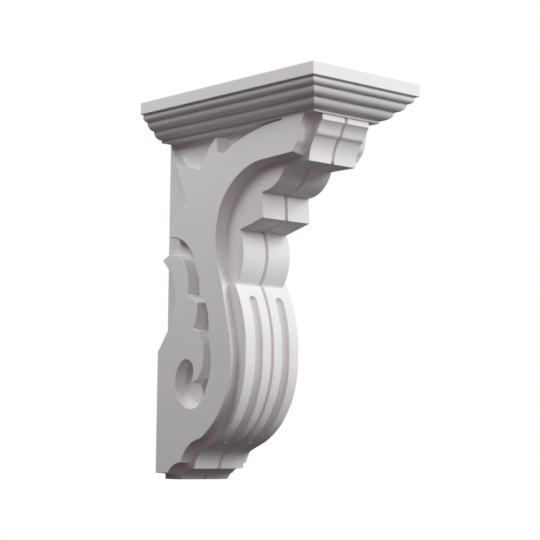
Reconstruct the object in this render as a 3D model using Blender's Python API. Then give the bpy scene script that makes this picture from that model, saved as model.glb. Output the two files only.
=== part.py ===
"""Ornate corbel: one moulded casting with a mitred cap, a stepped and fluted centre, and a scrolled plate on each side.

Every outline below is drawn in millimetres on the corbel's side view, as (out from the wall, up from the foot).
The corbel hangs on a wall at y = 0 and reaches out towards -y. Its origin is the middle of its back.
"""
import math

import bmesh
import bpy

# Driving sizes, in millimetres
CAP_WIDTH = 168.5        # across the top
DEPTH = 305.0            # from the wall to the cap's front
HEIGHT = 454.5           # from the foot to the cap's top
CAP_HEIGHT = 45.6        # the cap's mouldings, top to bottom
PLATE_HALF = 51.6        # from the middle to the outer face of a side plate
CENTRE_HALF = 36.8       # half the width of the stepped centre, between the plates
APRON_HALF = 41.5        # half the width of the fluted apron
APRON_FOOT_HALF = 38.0   # the same at its foot
TAPER_START = 133.0      # from the apron's top edge, down its front, to where it starts to narrow
TAPER_END = 192.0        # the same, to where it has narrowed
SEAM_HALF = 2.2          # half the width of the groove down the middle of the front
SEAM_DEPTH = 3.0
FLUTE_HALF = 6.2         # half the width of a flute at its lips
FLUTE_DEPTH = 6.6
FLUTE_START = 14.0       # from the apron's top edge to the nose of a flute
FLUTE_END = 210.0        # from the same edge to where a flute has run out
FLUTE_FADE = 32.0        # the last stretch of a flute, where it gets shallow

# Making sizes, in millimetres
MM = 0.001               # metres in a millimetre
SAG = 0.15               # how far a facet may leave its arc
PATH_SAG = 0.002         # the same for the path that the apron's rows are spread along
OVERLAP = 1.6            # how deep one shape reaches into the next before they are joined
DRAFT = 0.8              # how much wider a plate is at its root than at its face
C_DRAFT = 4.0            # the same, along the big C-shaped opening
APRON_ROWS = 40
APRON_ROOT = 25.0        # how deep the apron reaches into the body
FLUTE_NOSE = 0.25        # half the width of a flute where it starts
ROUND_ANGLE = math.radians(30)  # facets that meet at less than this are one round surface

FOOT_TO_ORIGIN = HEIGHT / 2
CAP_FOOT = HEIGHT - CAP_HEIGHT
INSIDE_CAP = CAP_FOOT + OVERLAP


def arc(via, end):
    """A round stretch of an outline, through a point on the way to its end."""
    return ("arc", via, end)


def circle_through(a, b, c):
    """Centre and radius of the circle through three points."""
    (ax, ay), (bx, by), (cx, cy) = a, b, c
    d = 2 * (ax * (by - cy) + bx * (cy - ay) + cx * (ay - by))
    a2, b2, c2 = ax * ax + ay * ay, bx * bx + by * by, cx * cx + cy * cy
    x = (a2 * (by - cy) + b2 * (cy - ay) + c2 * (ay - by)) / d
    y = (a2 * (cx - bx) + b2 * (ax - cx) + c2 * (bx - ax)) / d
    return (x, y), math.dist((x, y), a)


def arc_points(start, via, end, sag):
    """Points after start along the arc, close enough that no facet leaves it by more than sag."""
    (cx, cy), radius = circle_through(start, via, end)
    first = math.atan2(start[1] - cy, start[0] - cx)
    middle = (math.atan2(via[1] - cy, via[0] - cx) - first) % math.tau
    sweep = (math.atan2(end[1] - cy, end[0] - cx) - first) % math.tau
    if middle > sweep:
        sweep -= math.tau
    step = 2 * math.acos(max(0.0, 1 - sag / radius))
    count = max(2, math.ceil(abs(sweep) / step))
    angles = [first + sweep * i / count for i in range(1, count)]
    return [(cx + radius * math.cos(t), cy + radius * math.sin(t)) for t in angles] + [end]


def trace(moves, sag=SAG):
    """An outline's points from its corners and arcs."""
    points = []
    for move in moves:
        if move[0] == "arc":
            points += arc_points(points[-1], move[1], move[2], sag)
        else:
            points.append(move)
    return points


def signed_area(points):
    pairs = zip(points, points[1:] + points[:1])
    return sum(a[0] * b[1] - b[0] * a[1] for a, b in pairs) / 2


def grow(points, amounts):
    """Moves each point of a closed outline outwards along its mitre, by its own amount."""
    turn = 1 if signed_area(points) > 0 else -1
    grown = []
    for i, (x, y) in enumerate(points):
        before, after = points[i - 1], points[(i + 1) % len(points)]
        one = math.atan2(y - before[1], x - before[0])
        two = math.atan2(after[1] - y, after[0] - x)
        half = math.remainder(two - one, math.tau) / 2
        mitre = amounts[i] / max(0.5, math.cos(half))
        away = one + half - turn * math.pi / 2
        grown.append((x + mitre * math.cos(away), y + mitre * math.sin(away)))
    return grown


def at(across, out_up):
    """A point in metres, from its place across and on the side view in millimetres."""
    return (across * MM, -out_up[0] * MM, (out_up[1] - FOOT_TO_ORIGIN) * MM)


def loft(name, rings, back_whole=False):
    """A closed body through rings of equal length, with its first and last ring filled.

    Where back_whole is set, the side between a ring's last and first points is one flat face.
    """
    mesh = bpy.data.meshes.new(name)
    bm = bmesh.new()
    loops = [[bm.verts.new(point) for point in ring] for ring in rings]
    for low, high in zip(loops, loops[1:]):
        for i in range(len(low) - back_whole):
            j = (i + 1) % len(low)
            bm.faces.new((low[i], low[j], high[j], high[i]))
    if back_whole:
        bm.faces.new([loop[0] for loop in loops] + [loop[-1] for loop in reversed(loops)])
    bm.faces.new(loops[0])
    bm.faces.new(loops[-1])
    bmesh.ops.recalc_face_normals(bm, faces=bm.faces)
    bm.to_mesh(mesh)
    bm.free()
    body = bpy.data.objects.new(name, mesh)
    bpy.context.collection.objects.link(body)
    return body


def cap():
    """The mitred cap: a fascia over three quarter-rounds and a fillet. Its profile is (in, down) from the top edge."""
    profile = trace([
        (0, 0), (0, 14.5), (4.2, 14.9), (4.2, 16.4), (3.4, 16.4),
        arc((5.4, 21.0), (10.2, 23.0)),
        arc((13.2, 29.6), (20.5, 32.6)),
        (20.8, 35.0),
        arc((24.3, 39.9), (32.0, 42.3)),
        (CAP_WIDTH / 2 - PLATE_HALF, 42.3), (CAP_WIDTH / 2 - PLATE_HALF, CAP_HEIGHT)])
    rings = []
    for inset, drop in profile:
        half = CAP_WIDTH / 2 - inset
        front = (DEPTH - inset, HEIGHT - drop)
        wall = (0, HEIGHT - drop)
        rings.append([at(-half, wall), at(-half, front), at(half, front), at(half, wall)])
    return loft("corbel", rings, back_whole=True)


def centre():
    """The centre between the plates, seen from the side, with the seam cut down the middle of its front."""
    front = trace([
        (270.5, INSIDE_CAP), (270.5, 402.2),
        arc((265.0, 395.4), (261.9, 387.2)),
        (258.5, 386.4),
        arc((251.3, 373.5), (249.1, 358.3)),
        (209.4, 358.3),
        arc((194.6, 338.7), (170.7, 331.3)),
        (171.0, 331.3), (172.7, 301.3), (132.8, 290.9),
        arc((139.0, 262.0), (125.4, 226.8))])
    under_apron = [(137.0, 150.0), (131.0, 100.0), (115.0, 72.0), (95.0, 58.0), (72.0, 50.0), (50.0, 38.0),
                   (46.0, 20.0)]
    foot = trace([(47.0, 12.9), arc((38.6, 8.8), (29.5, 0.0))])
    back = [(0.0, 0.0), (0.0, INSIDE_CAP)]
    outline = front + under_apron + foot + back
    seam = [SEAM_DEPTH] * len(front) + [0.0] * len(under_apron) + [SEAM_DEPTH] * len(foot) + [0.0] * len(back)
    valley = grow(outline, [-depth for depth in seam])
    valley[0] = (outline[0][0] - SEAM_DEPTH, INSIDE_CAP)
    sides = [(-CENTRE_HALF, outline), (-SEAM_HALF, outline), (0, valley), (SEAM_HALF, outline),
             (CENTRE_HALF, outline)]
    return loft("centre", [[at(across, point) for point in line] for across, line in sides])


def apron_path():
    """The apron's front, from its top edge: a full belly, then an ogee in to the lip at the foot."""
    return trace([
        (130.4, 227.0),
        arc((145.9, 187.8), (150.1, 146.0)),
        arc((145.0, 106.0), (127.2, 70.0)),
        arc((113.2, 55.5), (96.0, 44.8)),
        (73.0, 35.3),
        arc((64.1, 29.2), (58.6, 20.0)),
        (56.4, 13.3)], PATH_SAG)


def along(path, distance):
    """The point at a distance along a path, and the direction there."""
    for a, b in zip(path, path[1:]):
        length = math.dist(a, b)
        if distance <= length or b is path[-1]:
            heading = ((b[0] - a[0]) / length, (b[1] - a[1]) / length)
            return (a[0] + heading[0] * distance, a[1] + heading[1] * distance), heading
        distance -= length


def portion(value, low, high):
    """How far a value has gone from low to high, kept from 0 to 1."""
    return min(1.0, max(0.0, (value - low) / (high - low)))


def flute_size(distance):
    """A flute's half width and depth at a distance down the apron: round at its nose, fading out below."""
    past_nose = portion(distance, FLUTE_START, FLUTE_START + FLUTE_HALF)
    nose = math.sqrt(1 - (1 - past_nose) ** 2)
    fade = portion(distance, FLUTE_END, FLUTE_END - FLUTE_FADE)
    return max(FLUTE_NOSE, FLUTE_HALF * nose), FLUTE_DEPTH * nose * math.sqrt(fade)


def apron():
    """The fluted apron: rows across its front, each closed by a root inside the body."""
    path = apron_path()
    length = sum(math.dist(a, b) for a, b in zip(path, path[1:]))
    nose_rows = [FLUTE_START + FLUTE_HALF * (1 - math.cos(math.radians(a))) for a in (0, 25, 45, 65, 90)]
    run = length - nose_rows[-1]
    rows = [0.0] + nose_rows + [nose_rows[-1] + run * i / APRON_ROWS for i in range(1, APRON_ROWS + 1)]
    rings = []
    for distance in rows:
        (out, up), (along_out, along_up) = along(path, distance)
        inward = (-1.0, 0.0) if distance in (rows[0], rows[-1]) else (along_up, -along_out)
        edge = APRON_HALF + (APRON_FOOT_HALF - APRON_HALF) * portion(distance, TAPER_START, TAPER_END)
        middle = edge / 2
        half, depth = flute_size(distance)

        def sunk(amount):
            return (out + inward[0] * amount, up + inward[1] * amount)

        right = [(0, SEAM_DEPTH), (SEAM_HALF, 0), (middle - half, 0), (middle, depth),
                 (middle + half, 0), (edge, 0), (edge, APRON_ROOT)]
        left = [(-across, amount) for across, amount in reversed(right[1:])]
        rings.append([at(across, sunk(amount)) for across, amount in left + right])
    return loft("apron", rings)


def plate_outline():
    """The scrolled plate and the draft of each of its points."""
    top_edge = trace([(219.6, INSIDE_CAP), (218.7, 406.4), arc((166.9, 399.6), (116.6, 381.0))])
    leaves = trace([
        (106.5, 384.4), (105.4, 401.4), (101.6, 400.4),
        arc((86.6, 385.3), (74.9, 367.6)),
        arc((57.0, 372.6), (37.5, 374.9)),
        (30.4, 380.7), (23.7, 389.5),
        arc((37.0, 359.5), (49.6, 333.4)),
        (56.1, 326.2),
        arc((33.6, 317.5), (18.5, 294.0)),
        (21.0, 290.2),
        arc((55.0, 277.0), (70.2, 249.8)),
        arc((76.6, 234.0), (77.2, 218.2)),
        (88.4, 208.0),
        arc((93.8, 191.5), (95.6, 173.5)),
        (91.6, 172.0),
        arc((99.4, 144.0), (89.0, 99.0))])
    eye = trace([
        (86.6, 98.7),
        arc((67.0, 83.6), (45.0, 91.0)),
        arc((34.2, 114.0), (43.5, 137.0)),
        arc((57.5, 141.2), (67.6, 131.5)),
        (67.8, 122.5), (66.4, 113.4)])
    lower_leaf = trace([
        (76.6, 117.8),
        arc((86.4, 138.5), (83.4, 161.2)),
        (76.2, 174.4), (67.8, 178.4),
        arc((72.8, 192.0), (73.8, 208.2)),
        (71.0, 209.2), (54.9, 219.8),
        arc((56.0, 239.0), (46.6, 260.4)),
        arc((32.0, 267.6), (15.9, 268.0)),
        (6.8, 263.6), (21.6, 247.6),
        arc((31.6, 216.0), (21.7, 181.3)),
        (0.0, 153.2)])
    foot = trace([
        (0.0, 7.5), (22.4, 7.5),
        arc((32.6, 16.2), (42.8, 19.6)),
        (47.3, 20.4),
        arc((57.5, 36.7), (81.2, 47.8)),
        arc((109.7, 70.4), (128.2, 99.0)),
        arc((135.2, 130.0), (131.4, 173.0)),
        (117.2, 230.3)])
    c_opening = trace([
        (112.1, 244.2),
        arc((105.9, 283.0), (113.6, 319.6)),
        arc((147.6, 353.8), (191.8, 365.4)),
        (238.2, 367.8)])
    head = trace([
        (242.2, 373.4),
        arc((247.4, 380.0), (249.7, 387.4)),
        (250.6, 388.6),
        arc((252.3, 399.8), (256.3, CAP_FOOT)),
        (256.3, INSIDE_CAP)])
    outline = top_edge + leaves + eye + lower_leaf + foot + c_opening + head
    plain = len(top_edge + leaves + eye + lower_leaf + foot)
    draft = [DRAFT] * plain + [C_DRAFT] * len(c_opening) + [DRAFT] * len(head)
    draft[0] = draft[-1] = 0.0
    return outline, draft


def plate(side):
    """One scrolled plate, from its root inside the centre to its outer face."""
    outline, draft = plate_outline()
    at_wall = [out == 0.0 for out, up in outline]
    root = [(0.0, point[1]) if wall else point
            for point, wall in zip(grow(outline, draft), at_wall)]
    sides = [(CENTRE_HALF - OVERLAP, root), (CENTRE_HALF, root), (PLATE_HALF, outline)]
    return loft("plate", [[at(side * across, point) for point in line] for across, line in sides])


def join(body, piece):
    """Adds a piece to the body with an exact union, then drops the piece."""
    union = body.modifiers.new("union", "BOOLEAN")
    union.operation = "UNION"
    union.solver = "EXACT"
    union.object = piece
    graph = bpy.context.evaluated_depsgraph_get()
    joined = bpy.data.meshes.new_from_object(body.evaluated_get(graph))
    body.modifiers.clear()
    body.data = joined
    bpy.data.objects.remove(piece)


def primed_white():
    """Factory primer on moulded polyurethane: a matt, nearly neutral off-white."""
    material = bpy.data.materials.new("primed_white")
    material.use_nodes = True
    shader = material.node_tree.nodes["Principled BSDF"]
    shader.inputs["Base Color"].default_value = (0.78, 0.78, 0.775, 1)
    shader.inputs["Roughness"].default_value = 0.62
    shader.inputs["Metallic"].default_value = 0.0
    return material


def main():
    for old in list(bpy.data.objects):
        bpy.data.objects.remove(old)
    corbel = cap()
    for piece in (centre(), apron(), plate(-1), plate(1)):
        join(corbel, piece)
    corbel.data.materials.clear()
    corbel.data.materials.append(primed_white())
    corbel.data.shade_smooth()
    corbel.data.set_sharp_from_angle(angle=ROUND_ANGLE)


main()
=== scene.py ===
"""An ornate corbel in factory primer: one moulded casting with a mitred cap, a stepped and fluted centre and
two scrolled plates, modelled with rounded arrises, soft coves and a matt, faintly textured finish.

Outlines are drawn in millimetres on the corbel's side view, as (out from the wall, up from the foot).
"""
import math

import bpy
from mathutils import Matrix, Vector


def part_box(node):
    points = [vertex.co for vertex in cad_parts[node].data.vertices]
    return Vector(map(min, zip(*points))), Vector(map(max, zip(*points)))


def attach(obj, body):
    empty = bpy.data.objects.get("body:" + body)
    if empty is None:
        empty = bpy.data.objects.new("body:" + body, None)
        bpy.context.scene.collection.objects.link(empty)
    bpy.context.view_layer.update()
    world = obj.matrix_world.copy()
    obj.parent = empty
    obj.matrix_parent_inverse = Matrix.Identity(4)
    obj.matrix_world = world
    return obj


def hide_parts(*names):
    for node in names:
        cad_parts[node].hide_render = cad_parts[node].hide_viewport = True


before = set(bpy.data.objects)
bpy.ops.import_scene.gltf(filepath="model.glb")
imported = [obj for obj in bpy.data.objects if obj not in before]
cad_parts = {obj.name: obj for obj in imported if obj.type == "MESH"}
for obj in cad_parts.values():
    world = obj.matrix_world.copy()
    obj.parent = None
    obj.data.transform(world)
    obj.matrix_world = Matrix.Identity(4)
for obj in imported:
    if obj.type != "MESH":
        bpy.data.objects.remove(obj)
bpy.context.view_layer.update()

# Sizes in millimetres. The width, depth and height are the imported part's own.
MM = 0.001
low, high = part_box("corbel")
WIDTH = (high.x - low.x) / MM
DEPTH = (high.y - low.y) / MM
HEIGHT = (high.z - low.z) / MM
FOOT = low.z / MM            # the foot's height in the frame
CAP_HEIGHT = 45.6
CAP_FOOT = HEIGHT - CAP_HEIGHT
PLATE_HALF = 51.6            # from the middle to a plate's outer face
CENTRE_HALF = 36.8           # half the width of the centre, and the plane of the carving's floor
APRON_HALF = 41.5            # half the width of the fluted apron
APRON_FOOT_HALF = 38.0       # the same at its foot
TAPER = (133.0, 192.0)       # where the apron narrows, down its front from its top edge
APRON_ROOT = 25.0            # how deep the apron reaches into the body
FASCIA = 14.5                # the cap's top band
ARRIS = 0.7                  # radius of an outer edge
APRON_ARRIS = 0.9            # the same on the apron
COVE = 2.0                   # radius where a carved wall meets its floor
EYE_COVE = 8.0               # the same at the bottom of the eye, which is dished
HOOK_COVE = 0.6              # the same at the tip of the hook over the eye
DISH_UP = (130.0, 92.0)      # from where to where the eye's cove widens, going down
DISH_OUT = (76.0, 56.0)      # and going in towards the wall
DRAFT = 0.8                  # how much wider a plate is at its root than at its face
C_DRAFT = 2.6                # the same in its C-shaped opening
JOIN = 1.6                   # how deep one shape reaches into the next
BEHIND = 6.0                 # how far a shape runs past the wall before it is cut flat
INSIDE_CAP = CAP_FOOT + JOIN

# Half the groove down the middle, as (across, in)
SEAM = [(0.0, 3.8), (0.35, 3.5), (1.1, 2.1), (1.9, 0.65), (2.4, 0.2), (3.0, 0.0)]
CORNER_WEAR = 1.9            # how many times deeper it cuts a step's lower corner, which rounds it

# Half a flute, from its edge to its middle, as shares of its half width and of its depth
FLUTE = [(1.08, 0.0), (0.99, 0.035), (0.9, 0.11), (0.5, 0.5), (0.12, 0.89), (0.04, 0.955), (0.0, 0.965)]
FLUTE_HALF, FLUTE_DEPTH = 6.2, 6.9
FLUTE_START = 14.0           # the top of the flutes, down the apron's front from its top edge
FLUTE_END = 210.0            # where they have faded out
FLUTE_FADE = 32.0            # the length of the fading
FLUTE_TIP = 0.25             # half the least width of a flute
NOSE_STEP = 9                # degrees from row to row round the top of a flute
ROW = 2.2                    # the most from row to row below that

# How finely it is modelled
SAG = 0.03                   # how far a facet may leave its arc
PATH_SAG = 0.002             # the same for the path that the apron's rows are spread along
ROUND_STEPS = 4              # facets in a rounded edge
ROUND_ANGLE = math.radians(35)  # faces that meet at less than this are shaded as one
SAME_PLACE = 0.001           # corners closer than this are one
BLUNT = 0.45                 # the least cosine in a mitre, which keeps sharp tips short
REACH = 2.5                  # how far a closed-up corner may lie from its side, as a share of the growth
PASSES = 16                  # the most times that turned sides are looked for
TURNED_OVER = -1e-9          # a side that runs this much against its old way has turned over
PARALLEL = 1e-6              # lines that cross by less than this don't meet

# The finish, with noises as (scale, detail)
CLOUD, GRAIN, SWELL = (14.0, 3.0), (1500.0, 2.0), (160.0, 2.0)
WHITES = (0.775, 0.776, 0.775, 1), (0.80, 0.80, 0.798, 1)
CLOUD_GAIN, CLOUD_START = 1.6, 0.3
# A warm, darker tone painted as shade into the carving's recesses, flutes and grooves, and how much of it
# shows there
PAINTED_SHADE, PAINTED_SHADE_SHARE = (0.75, 0.728, 0.722, 1), 0.5
SIDE_GAIN, SIDE_START = 2.5, 1.2  # painted shade shows on faces that turn to the side, as the carving's floor does
GRAIN_SHARE = 0.25           # the grain's height beside the swell's
BUMP, BUMP_HEIGHT = 0.35, 0.00012
ROUGHNESS, ROUGHNESS_SPREAD = 0.56, 0.12
SPECULAR = 0.4

# The photograph's camera, in degrees, metres and millimetres
TURN, TILT, ROLL = -41.859, -6.252, -0.579
CAMERA_PLACE = Vector((-1.2578, -1.5484, -0.1880))
LENS, SENSOR = 107.84, 36

# The studio, in metres and watts
MIDDLE = Vector((0.0, -0.15, 0.0))
FLOOR, FLOOR_SIZE = -1.7, 6.0
PALE, PALE_ROUGHNESS = (0.8, 0.8, 0.8, 1), 0.8
WHITE = (1, 1, 1, 1)
AMBIENT, BACKDROP = 0.01, 1.0  # the surroundings' strength as light, and as the camera sees them
COOL, WARM = (0.98, 0.99, 1.0), (1.0, 0.74, 0.77)
LIGHTS = [  # name, azimuth, elevation, distance, size, power, colour
    ("left", -118, 45, 1.6, 0.9, 17.0, COOL),
    ("key", 35, 28, 4.0, 2.2, 124.0, COOL),
    ("front", 8, 31, 4.0, 2.2, 36.0, COOL),
    ("corner", -40, 30, 2.2, 1.2, 8.0, COOL),
    ("right", 65, 0, 2.2, 1.2, 7.0, COOL),
    ("fill", -42, -10, 2.2, 1.2, 6.0, WARM),
    ("back", 165, 25, 2.6, 1.4, 14.0, COOL)]


# Outlines

def arc(via, end):
    """A round stretch of an outline, through a point on the way to its end."""
    return ("arc", via, end)


def circle_through(a, b, c):
    """Centre and radius of the circle through three points."""
    (ax, ay), (bx, by), (cx, cy) = a, b, c
    d = 2 * (ax * (by - cy) + bx * (cy - ay) + cx * (ay - by))
    a2, b2, c2 = ax * ax + ay * ay, bx * bx + by * by, cx * cx + cy * cy
    x = (a2 * (by - cy) + b2 * (cy - ay) + c2 * (ay - by)) / d
    y = (a2 * (cx - bx) + b2 * (ax - cx) + c2 * (bx - ax)) / d
    return (x, y), math.dist((x, y), a)


def arc_points(start, via, end, sag):
    """Points after start along the arc, close enough that no facet leaves it by more than sag."""
    (cx, cy), radius = circle_through(start, via, end)
    first = math.atan2(start[1] - cy, start[0] - cx)
    middle = (math.atan2(via[1] - cy, via[0] - cx) - first) % math.tau
    sweep_angle = (math.atan2(end[1] - cy, end[0] - cx) - first) % math.tau
    if middle > sweep_angle:
        sweep_angle -= math.tau
    step = 2 * math.acos(max(0.0, 1 - sag / radius))
    count = max(2, math.ceil(abs(sweep_angle) / step))
    angles = [first + sweep_angle * i / count for i in range(1, count)]
    return [(cx + radius * math.cos(t), cy + radius * math.sin(t)) for t in angles] + [end]


def trace(moves, sag=SAG):
    """An outline's points from its corners and arcs."""
    points = []
    for move in moves:
        if move[0] == "arc":
            points += arc_points(points[-1], move[1], move[2], sag)
        else:
            points.append(move)
    return points


def signed_area(points):
    """The area inside a closed outline, above zero where it runs anticlockwise."""
    pairs = zip(points, points[1:] + points[:1])
    return sum(a[0] * b[1] - b[0] * a[1] for a, b in pairs) / 2


def minus(a, b):
    """The way from b to a."""
    return (a[0] - b[0], a[1] - b[1])


def meet(start, heading, other, other_heading):
    """Where a line from start meets a line from other, or None where they are parallel."""
    cross = heading[0] * other_heading[1] - heading[1] * other_heading[0]
    if abs(cross) < PARALLEL:
        return None
    between = minus(other, start)
    share = (between[0] * other_heading[1] - between[1] * other_heading[0]) / cross
    return (start[0] + heading[0] * share, start[1] + heading[1] * share)


def grow(points, amounts):
    """Moves a closed outline outwards along its mitres. Short sides that turn over close up to a point."""
    count = len(points)
    turn = 1 if signed_area(points) > 0 else -1
    grown = []
    for i, point in enumerate(points):
        back, onward = minus(point, points[i - 1]), minus(points[(i + 1) % count], point)
        one, two = math.atan2(back[1], back[0]), math.atan2(onward[1], onward[0])
        half = math.remainder(two - one, math.tau) / 2
        mitre = amounts[i] / max(BLUNT, math.cos(half))
        away = one + half - turn * math.pi / 2
        grown.append((point[0] + mitre * math.cos(away), point[1] + mitre * math.sin(away)))
    reach = REACH * max(map(abs, amounts))
    for _ in range(PASSES):
        turned = []
        for i in range(count):
            j = (i + 1) % count
            side, now = minus(points[j], points[i]), minus(grown[j], grown[i])
            if side[0] * now[0] + side[1] * now[1] < TURNED_OVER:
                turned.append(i)
        if not turned:
            break
        for i in turned:
            j, k = (i + 1) % count, (i + 2) % count
            before, after = minus(points[i], points[i - 1]), minus(points[k], points[j])
            corner = meet(grown[i - 1], before, grown[k], after)
            middle =((grown[i][0] + grown[j][0]) / 2, (grown[i][1] + grown[j][1]) / 2)
            if corner is None or math.dist(corner, middle) > reach:
                corner = middle
            grown[i] = grown[j] = corner
    return grown


def quarter_round(radius):
    """(below the flat, in from the wall) places on a rounded edge, from the wall to the flat."""
    angles = [math.pi / 2 * i / ROUND_STEPS for i in range(ROUND_STEPS + 1)]
    return [(radius * (1 - math.sin(t)), radius * (1 - math.cos(t))) for t in angles]


def at(across, out_up):
    """A point in metres, from its place across and on the side view in millimetres."""
    return Vector((across * MM, -out_up[0] * MM, (out_up[1] + FOOT) * MM))


def portion(value, start, end):
    """How far a value has gone from start to end, kept from 0 to 1."""
    return min(1.0, max(0.0, (value - start) / (end - start)))


# Modelling

def only(obj):
    """Selects one piece and nothing else."""
    bpy.ops.object.select_all(action="DESELECT")
    obj.select_set(True)
    bpy.context.view_layer.objects.active = obj


def sweep(name, rings):
    """A closed body: a flat face with the first ring's corners, extruded from ring to ring."""
    bpy.ops.object.select_all(action="DESELECT")
    bpy.ops.mesh.primitive_circle_add(vertices=len(rings[0]), radius=MM, fill_type="NGON")
    body = bpy.context.object
    body.name = name
    for corner, place in zip(body.data.vertices, rings[0]):
        corner.co = place
    for ring in rings[1:]:
        bpy.ops.object.mode_set(mode="EDIT")
        bpy.ops.mesh.extrude_region_move()
        bpy.ops.object.mode_set(mode="OBJECT")
        for corner, place in zip(body.data.vertices[-len(ring):], ring):
            corner.co = place
    bpy.ops.object.mode_set(mode="EDIT")
    bpy.ops.mesh.select_all(action="SELECT")
    bpy.ops.mesh.bisect(plane_co=(0, 0, 0), plane_no=(0, 1, 0), clear_outer=True, use_fill=True)
    bpy.ops.mesh.select_all(action="SELECT")
    bpy.ops.mesh.remove_doubles(threshold=SAME_PLACE * MM)
    bpy.ops.mesh.normals_make_consistent(inside=False)
    bpy.ops.object.mode_set(mode="OBJECT")
    return body


def join(body, piece):
    """Unites a piece with the body."""
    only(body)
    bpy.ops.object.modifier_add(type="BOOLEAN")
    union = body.modifiers[-1]
    union.operation = "UNION"
    union.solver = "EXACT"
    union.object = piece
    bpy.ops.object.modifier_apply(modifier=union.name)
    bpy.data.objects.remove(piece)


def cap():
    """The mitred cap: a fascia over three quarter-rounds and a fillet, as (in, down) from the top edge."""
    fillet = WIDTH / 2 - PLATE_HALF
    fascia = [(inset, below) for below, inset in reversed(quarter_round(ARRIS))]
    fascia += [(inset, FASCIA - below) for below, inset in quarter_round(ARRIS)]
    profile = trace(fascia + [
        (4.2, 14.9), (4.2, 16.4), (3.6, 16.45),
        arc((5.4, 21.0), (10.2, 22.95)),
        (10.25, 23.1), arc((13.2, 29.6), (20.4, 32.5)),
        (20.6, 32.6), (20.8, 35.0),
        arc((24.3, 39.9), (31.6, 42.2)),
        (fillet, 42.3), (fillet, CAP_HEIGHT)])
    rings = []
    for inset, drop in profile:
        half, front, up = WIDTH / 2 - inset, DEPTH - inset, HEIGHT - drop
        right = [(half, -BEHIND)] + [(half - a, front - b) for b, a in quarter_round(ARRIS)]
        left = [(-x, out) for x, out in reversed(right)]
        rings.append([at(x, (out, up)) for x, out in right + left])
    return sweep("corbel_casting", rings)


def centre():
    """The centre between the plates: steps, roll and foot, with the groove down the middle of its front."""
    head = trace([
        (270.5, INSIDE_CAP), (270.5, 402.2),
        arc((265.2, 395.8), (262.2, 388.8)),
        arc((260.9, 386.9), (258.6, 385.2)),
        arc((252.0, 373.5), (249.5, 362.0))])
    head_corner = [(249.1, 358.3)]
    block = trace([
        (245.4, 358.3), (209.4, 358.3),
        arc((194.6, 338.7), (170.7, 331.3)),
        (171.0, 331.3), (172.5, 304.8)])
    block_corner = [(172.7, 301.3)]
    roll = trace([
        (169.3, 300.4), (132.8, 290.9),
        arc((139.0, 262.0), (125.4, 226.8))])
    front = head + head_corner + block + block_corner + roll
    under_apron = [(137.0, 150.0), (131.0, 100.0), (115.0, 72.0), (95.0, 58.0), (72.0, 50.0), (50.0, 38.0),
                   (46.0, 20.0)]
    foot = trace([(47.0, 12.9), arc((38.6, 8.8), (29.5, 0.0))])
    back = [(-BEHIND, 0.0), (-BEHIND, INSIDE_CAP)]
    outline = front + under_apron + foot + back
    # How deep the groove cuts each point: not at all behind the apron and at the wall
    carved = [CORNER_WEAR if point in head_corner + block_corner else 1.0 for point in front]
    carved += [0.0] * len(under_apron) + [1.0] * len(foot) + [0.0] * len(back)
    sides = SEAM + [(CENTRE_HALF - below, inset) for below, inset in quarter_round(ARRIS)]
    rings = []
    for across, depth in [(-a, d) for a, d in reversed(sides[1:])] + sides:
        line = grow(outline, [-depth * share for share in carved])
        # The top end moves straight in, and keeps its height inside the cap
        line[0] = (outline[0][0] - depth, INSIDE_CAP)
        rings.append([at(across, point) for point in line])
    return sweep("centre", rings)


def apron_path():
    """The apron's front, from its top edge: a full belly, then an ogee in to the lip at the foot."""
    return trace([
        (130.4, 227.0),
        arc((145.9, 187.8), (150.1, 146.0)),
        arc((145.0, 106.0), (127.2, 70.0)),
        arc((113.2, 55.5), (96.0, 44.8)),
        (73.0, 35.3),
        arc((64.1, 29.2), (58.6, 20.0)),
        (56.4, 13.3)], PATH_SAG)


def along(path, distance):
    """The point at a distance along a path, and the direction there."""
    for a, b in zip(path, path[1:]):
        length = math.dist(a, b)
        if distance <= length or b is path[-1]:
            heading = ((b[0] - a[0]) / length, (b[1] - a[1]) / length)
            return (a[0] + heading[0] * distance, a[1] + heading[1] * distance), heading
        distance -= length


def apron_section(edge, half, depth):
    """Half a row across the apron, as (across, in): groove, flute and rounded edge."""
    middle = edge / 2
    near = [(middle - share * half, part * depth) for share, part in FLUTE]
    far = [(middle + share * half, part * depth) for share, part in reversed(FLUTE[:-1])]
    rim = [(edge - below, inset) for below, inset in quarter_round(APRON_ARRIS)]
    return SEAM + near + far + rim + [(edge, APRON_ROOT)]


def apron():
    """The fluted apron: rows across its front, each closed by a root inside the body."""
    path = apron_path()
    length = sum(math.dist(a, b) for a, b in zip(path, path[1:]))
    angles = [math.radians(a) for a in range(0, 91, NOSE_STEP)]
    nose_rows = [FLUTE_START + FLUTE_HALF * (1 - math.cos(a)) for a in angles]
    count = math.ceil((length - nose_rows[-1]) / ROW)
    run = (length - nose_rows[-1]) / count
    rows = [0.0, FLUTE_START / 2] + nose_rows + [nose_rows[-1] + run * i for i in range(1, count + 1)]
    rings = []
    for distance in rows:
        (out, up), (along_out, along_up) = along(path, distance)
        inward = (-1.0, 0.0) if distance in (rows[0], rows[-1]) else (along_up, -along_out)
        edge = APRON_HALF + (APRON_FOOT_HALF - APRON_HALF) * portion(distance, *TAPER)
        past_nose = portion(distance, FLUTE_START, FLUTE_START + FLUTE_HALF)
        nose = math.sqrt(1 - (1 - past_nose) ** 2)
        fade = portion(distance, FLUTE_END, FLUTE_END - FLUTE_FADE)
        half, depth = max(FLUTE_TIP, FLUTE_HALF * nose), FLUTE_DEPTH * nose * math.sqrt(fade)
        right = apron_section(edge, half, depth)
        left = [(-across, amount) for across, amount in reversed(right[1:])]
        rings.append([at(across, (out + inward[0] * amount, up + inward[1] * amount))
                      for across, amount in left + right])
    return sweep("apron", rings)


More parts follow.
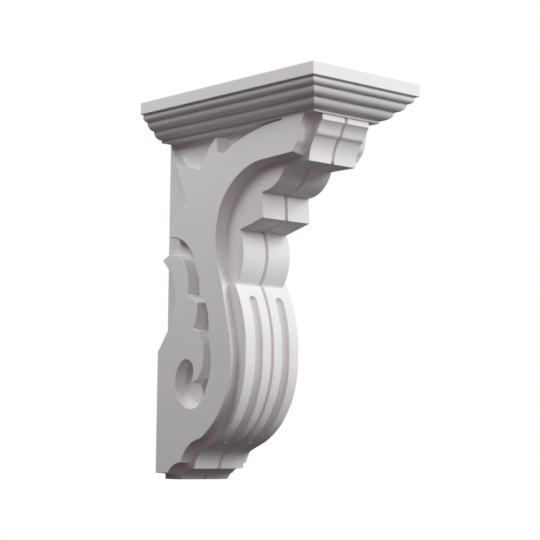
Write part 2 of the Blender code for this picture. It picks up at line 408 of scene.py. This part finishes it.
def plate_outline():
    """The scrolled plate's outline, with each point's growth towards the root and the radius of its cove."""
    top_edge = trace([(219.6, INSIDE_CAP), (218.7, 406.4), arc((166.9, 399.6), (116.6, 381.0))])
    leaves = trace([
        (106.5, 384.4), (105.4, 401.4), (101.6, 400.4),
        arc((86.6, 385.3), (74.9, 367.6)),
        arc((57.0, 372.6), (37.5, 374.9)),
        (30.4, 380.7), (23.7, 389.5),
        arc((37.0, 359.5), (49.6, 333.4)),
        (56.1, 326.2),
        arc((33.6, 317.5), (18.5, 294.0)),
        (21.0, 290.2),
        arc((55.0, 277.0), (70.2, 249.8)),
        arc((76.6, 234.0), (77.2, 218.2)),
        (88.4, 208.0),
        arc((93.8, 191.5), (95.6, 173.5)),
        (91.6, 172.0),
        arc((99.4, 144.0), (89.0, 101.0))])
    eye = trace([
        (87.6, 97.6),
        arc((67.0, 83.6), (45.0, 91.0)),
        arc((34.2, 114.0), (43.5, 137.0)),
        arc((57.5, 141.2), (67.6, 131.5)),
        (67.8, 122.5), (66.4, 113.4)])
    lower_leaf = trace([
        (76.6, 117.8),
        arc((86.4, 138.5), (83.4, 161.2)),
        (76.2, 174.4), (67.8, 178.4),
        arc((72.8, 192.0), (73.8, 208.2)),
        (71.0, 209.2), (54.9, 219.8),
        arc((56.0, 239.0), (46.6, 260.4)),
        arc((32.0, 267.6), (15.9, 268.0)),
        (6.8, 263.6), (21.6, 247.6),
        arc((31.6, 216.0), (21.7, 181.3)),
        (0.0, 153.2), (-BEHIND, 145.4)])
    foot = trace([
        (-BEHIND, 7.5), (22.4, 7.5),
        arc((32.6, 16.2), (42.8, 19.6)),
        (47.3, 20.4),
        arc((57.5, 36.7), (81.2, 47.8)),
        arc((109.7, 70.4), (128.2, 99.0)),
        arc((135.2, 130.0), (131.4, 173.0)),
        (117.2, 230.3)])
    c_opening = trace([
        (112.1, 244.2),
        arc((105.9, 283.0), (113.6, 319.6)),
        arc((147.6, 353.8), (191.8, 365.4)),
        (238.2, 367.8)])
    head = trace([
        (242.2, 373.4),
        arc((247.4, 380.0), (249.7, 387.4)),
        (250.6, 388.6),
        arc((252.3, 399.8), (256.3, CAP_FOOT)),
        (256.3, INSIDE_CAP)])
    outline = top_edge + leaves + eye + lower_leaf + foot + c_opening + head
    plain = len(top_edge + leaves + eye + lower_leaf + foot)
    draft = [DRAFT] * plain + [C_DRAFT] * len(c_opening) + [DRAFT] * len(head)
    dished = [portion(up, *DISH_UP) * portion(out, *DISH_OUT) for out, up in eye]
    coves = [COVE] * len(top_edge + leaves) + [COVE + (EYE_COVE - COVE) * share for share in dished]
    # The hook's tip runs from the eye's last point to the lower leaf's first
    coves[-1] = HOOK_COVE
    coves.append(HOOK_COVE)
    return outline, draft, coves + [COVE] * (len(outline) - len(coves))


def plate(side):
    """One scrolled plate, from its root inside the centre, up its coves, to its rounded face."""
    outline, draft, coves = plate_outline()
    root = grow(outline, [wider + cove for wider, cove in zip(draft, coves)])
    rings = [[at(side * (CENTRE_HALF - JOIN), point) for point in root]]
    for growth, rise in quarter_round(1.0):
        line = grow(outline, [wider + growth * cove for wider, cove in zip(draft, coves)])
        rings.append([at(side * (CENTRE_HALF + rise * cove), point) for point, cove in zip(line, coves)])
    for below, inset in quarter_round(ARRIS):
        line = grow(outline, [-inset] * len(outline))
        rings.append([at(side * (PLATE_HALF - below), point) for point in line])
    return sweep("plate", rings)


def casting():
    """The whole corbel as one closed body, smooth where it is round and crisp where it is cut."""
    body = cap()
    for piece in (centre(), apron(), plate(-1), plate(1)):
        join(body, piece)
    only(body)
    bpy.ops.object.mode_set(mode="EDIT")
    bpy.ops.mesh.select_all(action="SELECT")
    bpy.ops.mesh.remove_doubles(threshold=SAME_PLACE * MM)
    bpy.ops.object.mode_set(mode="OBJECT")
    bpy.ops.object.shade_smooth_by_angle(angle=ROUND_ANGLE)
    bpy.ops.object.modifier_add(type="WEIGHTED_NORMAL")
    body.modifiers[-1].keep_sharp = True
    bpy.ops.object.modifier_apply(modifier=body.modifiers[-1].name)
    return body


# The finish

class Wire:
    """A shader socket. Arithmetic on it adds Math nodes."""

    def __init__(self, paint, socket):
        self.paint, self.socket = paint, socket

    def maths(self, operation, *values, clamp=False):
        """The result of a Math node on some values."""
        settings = {"operation": operation, "use_clamp": clamp}
        return self.paint.add("ShaderNodeMath", settings, dict(enumerate(values)))

    def __add__(self, other):
        return self.maths("ADD", self, other)

    def __sub__(self, other):
        return self.maths("SUBTRACT", self, other)

    def __rsub__(self, other):
        return self.maths("SUBTRACT", other, self)

    def __mul__(self, other):
        return self.maths("MULTIPLY", self, other)

    def __truediv__(self, other):
        return self.maths("DIVIDE", self, other)

    def __abs__(self):
        return self.maths("ABSOLUTE", self)

    def kept(self):
        """The value, kept from 0 to 1."""
        return self.maths("ADD", self, 0.0, clamp=True)

    __radd__ = __add__


class Paint:
    """One material and its nodes."""

    def __init__(self, name):
        self.material = bpy.data.materials.new(name)
        self.material.use_nodes = True
        self.tree = self.material.node_tree
        self.shader = self.tree.nodes["Principled BSDF"]

    def fill(self, node, sockets):
        """Sets a node's sockets, and links those that are given a wire."""
        for name, value in sockets.items():
            if isinstance(value, Wire):
                self.tree.links.new(value.socket, node.inputs[name])
            else:
                node.inputs[name].default_value = value

    def add(self, kind, settings, sockets, output=0):
        """A node of a kind, with its settings and then its sockets. Gives one of its outputs as a wire."""
        node = self.tree.nodes.new(kind)
        for name, value in settings.items():
            setattr(node, name, value)
        self.fill(node, sockets)
        return Wire(self, node.outputs[output])

    def noise(self, place, scale, detail):
        """A soft random value from place to place."""
        return self.add("ShaderNodeTexNoise", {}, {"Vector": place, "Scale": scale, "Detail": detail}, "Fac")

    def blend(self, share, one, two):
        """A colour between two colours."""
        return self.add("ShaderNodeMix", {"data_type": "RGBA"}, {0: share, 6: one, 7: two}, 2)


def primed_white():
    """Factory primer on a moulded body: matt off-white, finely grained, with a little shade painted into the
    carving.
    """
    paint = Paint("primed_white")
    place = paint.add("ShaderNodeTexCoord", {}, {}, "Object")
    facing = paint.add("ShaderNodeNewGeometry", {}, {}, "Normal")
    x = paint.add("ShaderNodeSeparateXYZ", {}, {"Vector": place}, "X")
    sideways = paint.add("ShaderNodeSeparateXYZ", {}, {"Vector": facing}, "X")
    depth = ((PLATE_HALF * MM - abs(x)) / ((PLATE_HALF - CENTRE_HALF) * MM)).kept()
    # Painted shade: faces that turn sideways inside the plates' outer planes (the carving's floors, flute and
    # groove walls) are tinted darker and warmer
    carved = depth * (abs(sideways) * SIDE_GAIN - SIDE_START).kept()
    cloud, grain, swell = (paint.noise(place, *noise) for noise in (CLOUD, GRAIN, SWELL))
    white = paint.blend((cloud * CLOUD_GAIN - CLOUD_START).kept(), *WHITES)
    # The white with the painted shade blended in where the carving is
    painted_shade_colour = paint.blend((carved * (PAINTED_SHADE_SHARE + cloud)).kept(), white, PAINTED_SHADE)
    bump = paint.add("ShaderNodeBump", {}, {
        "Height": grain * GRAIN_SHARE + swell, "Strength": BUMP, "Distance": BUMP_HEIGHT}, "Normal")
    paint.fill(paint.shader, {
        "Base Color": painted_shade_colour, "Roughness": ROUGHNESS + cloud * ROUGHNESS_SPREAD,
        "Normal": bump, "Specular IOR Level": SPECULAR})
    return paint.material


# The studio

def direction(azimuth, elevation):
    """The way from the corbel to a light or a camera. Azimuth 0 is in front of it, and 90 at +X."""
    a, e = math.radians(azimuth), math.radians(elevation)
    return Vector((math.sin(a) * math.cos(e), -math.cos(a) * math.cos(e), math.sin(e)))


def softbox(name, azimuth, elevation, distance, size, power, colour):
    """A square soft light that looks at the corbel's middle."""
    back = direction(azimuth, elevation)
    data = bpy.data.lights.new(name, "AREA")
    data.shape = "SQUARE"
    data.size = size
    data.energy = power
    data.color = colour
    lamp = bpy.data.objects.new(name, data)
    lamp.location = MIDDLE + back * distance
    lamp.rotation_euler = back.to_track_quat("Z", "Y").to_euler()
    bpy.context.collection.objects.link(lamp)


def studio():
    """Soft lights, white surroundings, and a pale floor that sends no diffuse light up to the corbel."""
    bpy.ops.object.select_all(action="DESELECT")
    bpy.ops.mesh.primitive_plane_add(size=FLOOR_SIZE, location=(0, 0, FLOOR))
    floor = bpy.context.object
    floor.name = "floor"
    pale = bpy.data.materials.new("pale_floor")
    pale.use_nodes = True
    shader = pale.node_tree.nodes["Principled BSDF"]
    shader.inputs["Base Color"].default_value = PALE
    shader.inputs["Roughness"].default_value = PALE_ROUGHNESS
    floor.data.materials.append(pale)
    floor.visible_diffuse = False
    world = bpy.data.worlds.new("studio")
    world.use_nodes = True
    nodes, links = world.node_tree.nodes, world.node_tree.links
    path, seen = nodes.new("ShaderNodeLightPath"), nodes.new("ShaderNodeMix")
    seen.inputs[2].default_value, seen.inputs[3].default_value = AMBIENT, BACKDROP
    links.new(path.outputs["Is Camera Ray"], seen.inputs[0])
    links.new(seen.outputs[0], nodes["Background"].inputs["Strength"])
    nodes["Background"].inputs["Color"].default_value = WHITE
    bpy.context.scene.world = world
    bpy.context.scene.view_settings.view_transform = "Standard"
    for light in LIGHTS:
        softbox(*light)


def camera():
    """The photograph's view: from the left and a little below, through a long lens."""
    back, roll = direction(TURN, TILT), math.radians(ROLL)
    right = (-back).cross(Vector((0, 0, 1))).normalized()
    down = (-back).cross(right)
    turned = math.cos(roll) * right + math.sin(roll) * down
    up = math.sin(roll) * right - math.cos(roll) * down
    data = bpy.data.cameras.new("camera")
    data.lens = LENS
    data.sensor_width = SENSOR
    viewer = bpy.data.objects.new("camera", data)
    facing = Matrix((turned, up, back)).transposed().to_4x4()
    viewer.matrix_world = Matrix.Translation(CAMERA_PLACE) @ facing
    bpy.context.collection.objects.link(viewer)
    bpy.context.scene.camera = viewer


corbel = casting()
corbel.data.materials.clear()
corbel.data.materials.append(primed_white())
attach(corbel, "root")
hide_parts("corbel")
studio()
camera()
